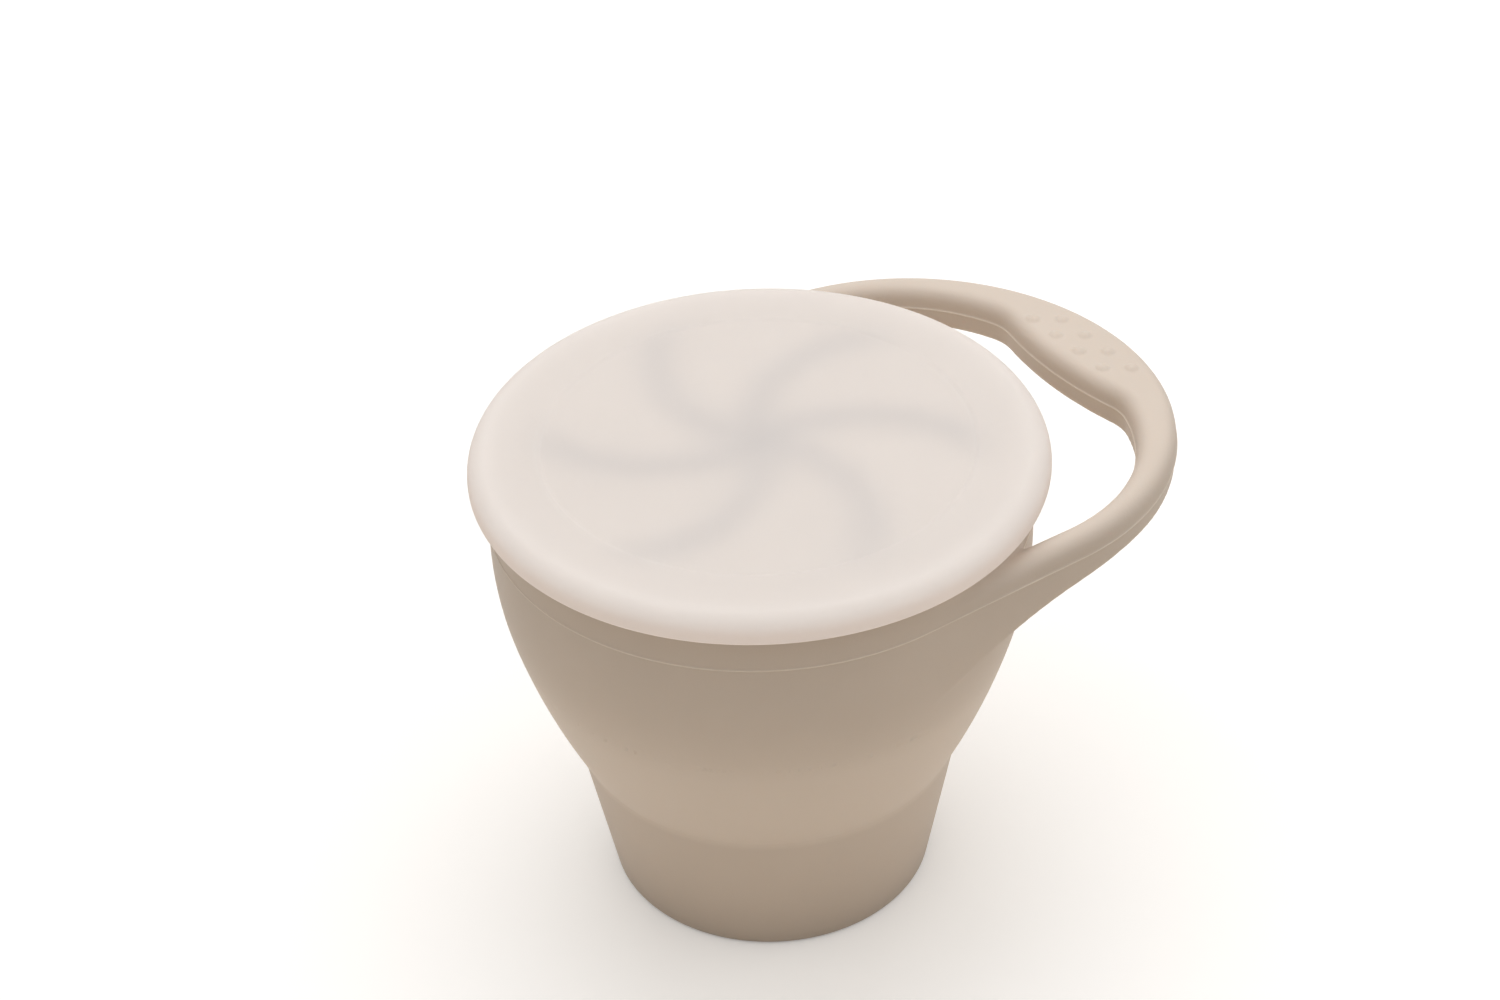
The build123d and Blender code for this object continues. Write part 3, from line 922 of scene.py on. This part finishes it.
def cup_material():
    """Matt beige silicone, with a painted glow on the thin folding wall and a painted highlight along the
    seam.
    """
    material, nodes, links, shader = new_material("beige_cup_silicone")
    place = attribute(nodes, "at_rest").outputs["Vector"]
    height = mapped(nodes, links, height_of(nodes, links, place), 0.0, CUP_HEIGHT, interpolation="LINEAR")
    stops = [(position, (value, value, value, 1)) for position, value in THIN_WALL_GLOW]
    # the folding wall gets a painted glow, lighter as if light shone through its thin wall
    thin_wall_glow = tinted(nodes, links, ramp(nodes, links, height, stops, "B_SPLINE"), THIN_WALL_GLOW_COLOUR)
    links.new(mottled(nodes, links, place, CUP_COLOUR, spread=0.02, scale=45), thin_wall_glow.inputs[MIX_A])
    distance = nodes.new("ShaderNodeMath")
    distance.operation = "ABSOLUTE"
    links.new(attribute(nodes, "off_parting").outputs["Fac"], distance.inputs[0])
    # painted highlight along the raised seam at the parting line
    seam_highlight = tinted(nodes, links, mapped(nodes, links, distance.outputs[0], *SEAM_HIGHLIGHT_FADE), SEAM_HIGHLIGHT_COLOUR)
    links.new(thin_wall_glow.outputs[MIX_COLOUR], seam_highlight.inputs[MIX_A])
    links.new(seam_highlight.outputs[MIX_COLOUR], shader.inputs["Base Color"])
    grain(nodes, links, place, shader, scale=2600, distance=0.00004)
    scatter(shader, weight=0.12, radius=(1.0, 0.7, 0.5), scale=0.002)
    shader.inputs["Specular IOR Level"].default_value = 0.25
    return material


def lid_material():
    """Softer beige silicone of the lid, with painted shade along its drooping, thin-edged slits and in its
    middle.
    """
    material, nodes, links, shader = new_material("soft_lid_silicone")
    place = attribute(nodes, "at_rest").outputs["Vector"]
    # painted shade along the slits and in the middle, from the droop attribute
    painted_shade = tinted(nodes, links, attribute(nodes, "droop").outputs["Fac"], PAINTED_SLIT_SHADE_COLOUR)
    links.new(mottled(nodes, links, place, LID_COLOUR, spread=0.02, scale=60), painted_shade.inputs[MIX_A])
    links.new(painted_shade.outputs[MIX_COLOUR], shader.inputs["Base Color"])
    grain(nodes, links, place, shader, scale=2600, distance=0.00003)
    scatter(shader, weight=0.15, radius=(1.0, 0.8, 0.6), scale=0.0015)
    shader.inputs["Specular IOR Level"].default_value = 0.35
    return material


def cover_material():
    """Pale translucent silicone: it scatters passing light, so the lid shows softly; painted shade at the
    lip.
    """
    material, nodes, links, shader = new_material("pale_cover_silicone")
    place = attribute(nodes, "at_rest").outputs["Vector"]
    links.new(mottled(nodes, links, place, COVER_COLOUR, spread=0.012, scale=40), shader.inputs["Base Color"])
    grain(nodes, links, place, shader, scale=1800, distance=0.00002)
    shader.inputs["Specular IOR Level"].default_value = 0.3
    # the rolled lip lets through darker, warmer light: painted shade
    start, end = ((COVER_TOP - depth) * 0.001 for depth in LIP_SHADE_DEPTHS)
    lip = mapped(nodes, links, height_of(nodes, links, place), start, end)
    through_with_lip_shade = tinted(nodes, links, lip, LIP_SHADE_THROUGH)
    through_with_lip_shade.inputs[MIX_A].default_value = COVER_THROUGH
    through = nodes.new("ShaderNodeBsdfTranslucent")
    links.new(through_with_lip_shade.outputs[MIX_COLOUR], through.inputs["Color"])
    milky = nodes.new("ShaderNodeMixShader")
    milky.inputs[0].default_value = COVER_PASS
    links.new(shader.outputs[0], milky.inputs[1])
    links.new(through.outputs[0], milky.inputs[2])
    links.new(milky.outputs[0], nodes["Material Output"].inputs["Surface"])
    return material


def show_camera(nodes, links, shown, other, output):
    """Gives the camera, reflections and clear surfaces one shader, and every other ray the other."""
    path = nodes.new("ShaderNodeLightPath")
    seen = path.outputs["Is Camera Ray"]
    for kind in ("Is Glossy Ray", "Is Transmission Ray"):
        either = nodes.new("ShaderNodeMath")
        either.operation = "MAXIMUM"
        links.new(seen, either.inputs[0])
        links.new(path.outputs[kind], either.inputs[1])
        seen = either.outputs[0]
    mix = nodes.new("ShaderNodeMixShader")
    links.new(seen, mix.inputs[0])
    links.new(other, mix.inputs[1])
    links.new(shown, mix.inputs[2])
    links.new(mix.outputs[0], output.inputs["Surface"])


def floor_material():
    """White floor that keeps the shadow: plain diffuse, lifted a little for the camera, and a painted pool of
    light for other rays.
    """
    material, nodes, links, shader = new_material("floor_white")
    nodes.remove(shader)
    place = nodes.new("ShaderNodeTexCoord")
    away = nodes.new("ShaderNodeVectorMath")
    away.operation = "LENGTH"
    links.new(place.outputs["Object"], away.inputs[0])
    furthest = PAINTED_LIGHT_POOL[-1][0]
    reach = mapped(nodes, links, away.outputs["Value"], 0.0, furthest, interpolation="LINEAR")
    stops = [(distance / furthest, colour) for distance, colour in PAINTED_LIGHT_POOL]
    # the object sees a painted pool of light round the cup, with painted shade at its foot and less light
    # further out
    painted_pool = nodes.new("ShaderNodeBsdfDiffuse")
    links.new(ramp(nodes, links, reach, stops, "EASE"), painted_pool.inputs["Color"])
    bright = nodes.new("ShaderNodeBsdfDiffuse")
    bright.inputs["Color"].default_value = FLOOR_COLOUR
    lift = nodes.new("ShaderNodeEmission")
    lift.inputs["Strength"].default_value = FLOOR_LIFT
    both = nodes.new("ShaderNodeAddShader")
    links.new(bright.outputs[0], both.inputs[0])
    links.new(lift.outputs[0], both.inputs[1])
    show_camera(nodes, links, both.outputs[0], painted_pool.outputs[0], nodes["Material Output"])
    return material


# ---------------------------------------------------------------- light, floor and camera
# lengths in this part are in metres
DOME_STRENGTHS = (0.08, 1.08)  # at the horizon and overhead
DOME_TINTS = ((0.35, (1.0, 0.9, 0.76, 1)), (0.85, (1.0, 0.99, 0.98, 1)))
FLOOR_HALF_WIDTH = 6.0
PANEL_AIM = Vector((0, 0, 0.05))
CAMERA_EYE = Vector((-0.00012, -0.40048, 0.37308))
CAMERA_YAW, CAMERA_PITCH, CAMERA_ROLL = -0.004048, 0.639199, -0.037715  # radians
CAMERA_LENS = 72.01         # mm, as is the sensor
CAMERA_SENSOR = 36
CAMERA_TURN = -33           # about the cup's axis, which puts the handle behind on the right


def build_world():
    """Soft dome of light, brighter overhead, that shows white behind the object."""
    world = bpy.data.worlds.new("studio")
    bpy.context.scene.world = world
    world.use_nodes = True
    nodes, links = world.node_tree.nodes, world.node_tree.links
    dome = nodes["Background"]
    place = nodes.new("ShaderNodeTexCoord")
    height = height_of(nodes, links, place.outputs["Generated"])
    links.new(mapped(nodes, links, height, 0.0, 1.0, *DOME_STRENGTHS), dome.inputs["Strength"])
    links.new(ramp(nodes, links, height, DOME_TINTS), dome.inputs["Color"])
    white = nodes.new("ShaderNodeBackground")
    white.inputs["Color"].default_value = (1, 1, 1, 1)
    show_camera(nodes, links, white.outputs[0], dome.outputs[0], nodes["World Output"])


def build_floor():
    """Large plain floor under the cup."""
    mesh = bpy.data.meshes.new("floor")
    far = FLOOR_HALF_WIDTH
    mesh.from_pydata([(-far, -far, 0), (far, -far, 0), (far, far, 0), (-far, far, 0)], [], [(0, 1, 2, 3)])
    floor = bpy.data.objects.new("floor", mesh)
    bpy.context.scene.collection.objects.link(floor)
    floor.data.materials.append(floor_material())


def add_panel(name, place, size, energy):
    """Soft round panel of light that faces the cup."""
    data = bpy.data.lights.new(name, "AREA")
    data.shape = "DISK"
    data.size = size
    data.energy = energy
    panel = bpy.data.objects.new(name, data)
    panel.location = place
    panel.rotation_euler = (PANEL_AIM - panel.location).to_track_quat("-Z", "Y").to_euler()
    bpy.context.scene.collection.objects.link(panel)


def build_lights():
    """One large soft panel high above, a little behind, and a weak one low at the side."""
    add_panel("high_panel", (0.3, 0.45, 1.2), size=1.2, energy=5.1)
    add_panel("side_panel", (0.9, -0.5, 0.5), size=0.8, energy=0.75)


def build_camera():
    """Camera at the photograph's place and angle."""
    yaw, pitch, roll = CAMERA_YAW, CAMERA_PITCH, CAMERA_ROLL
    ahead = Vector((math.sin(yaw) * math.cos(pitch), math.cos(yaw) * math.cos(pitch), -math.sin(pitch)))
    level = Vector((math.cos(yaw), -math.sin(yaw), 0))
    above = level.cross(ahead)
    right = math.cos(roll) * level + math.sin(roll) * above
    up = -math.sin(roll) * level + math.cos(roll) * above
    turn = Matrix.Rotation(math.radians(CAMERA_TURN), 3, "Z")
    place = Matrix([turn @ right, turn @ up, turn @ -ahead]).transposed().to_4x4()
    place.translation = turn @ CAMERA_EYE
    data = bpy.data.cameras.new("camera")
    data.lens = CAMERA_LENS
    data.sensor_width = CAMERA_SENSOR
    camera = bpy.data.objects.new("camera", data)
    camera.matrix_world = place
    bpy.context.scene.collection.objects.link(camera)
    bpy.context.scene.camera = camera


# ---------------------------------------------------------------- scene
build_camera()
build_world()
build_lights()
build_floor()

body = cup_body()
body.data.materials.append(cup_material())
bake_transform(body)
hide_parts("lower_cup", "fold_wall", "rim_with_handle")

lid_finish = lid_material()
ring = lid_ring()
ring.data.materials.append(lid_finish)
shade_slits(ring)
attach(ring, "snack_lid")
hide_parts("snack_lid")

for number in range(1, FLAP_COUNT + 1):
    skin = lid_flap(number)
    skin.data.materials.append(lid_finish)
    shade_slits(skin)
    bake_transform(skin)
    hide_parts(f"lid_flap_{number}")

cover = dust_cover()
cover.data.materials.append(cover_material())
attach(cover, "dust_cover")
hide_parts("dust_cover")

bpy.context.scene.view_settings.view_transform = "Standard"
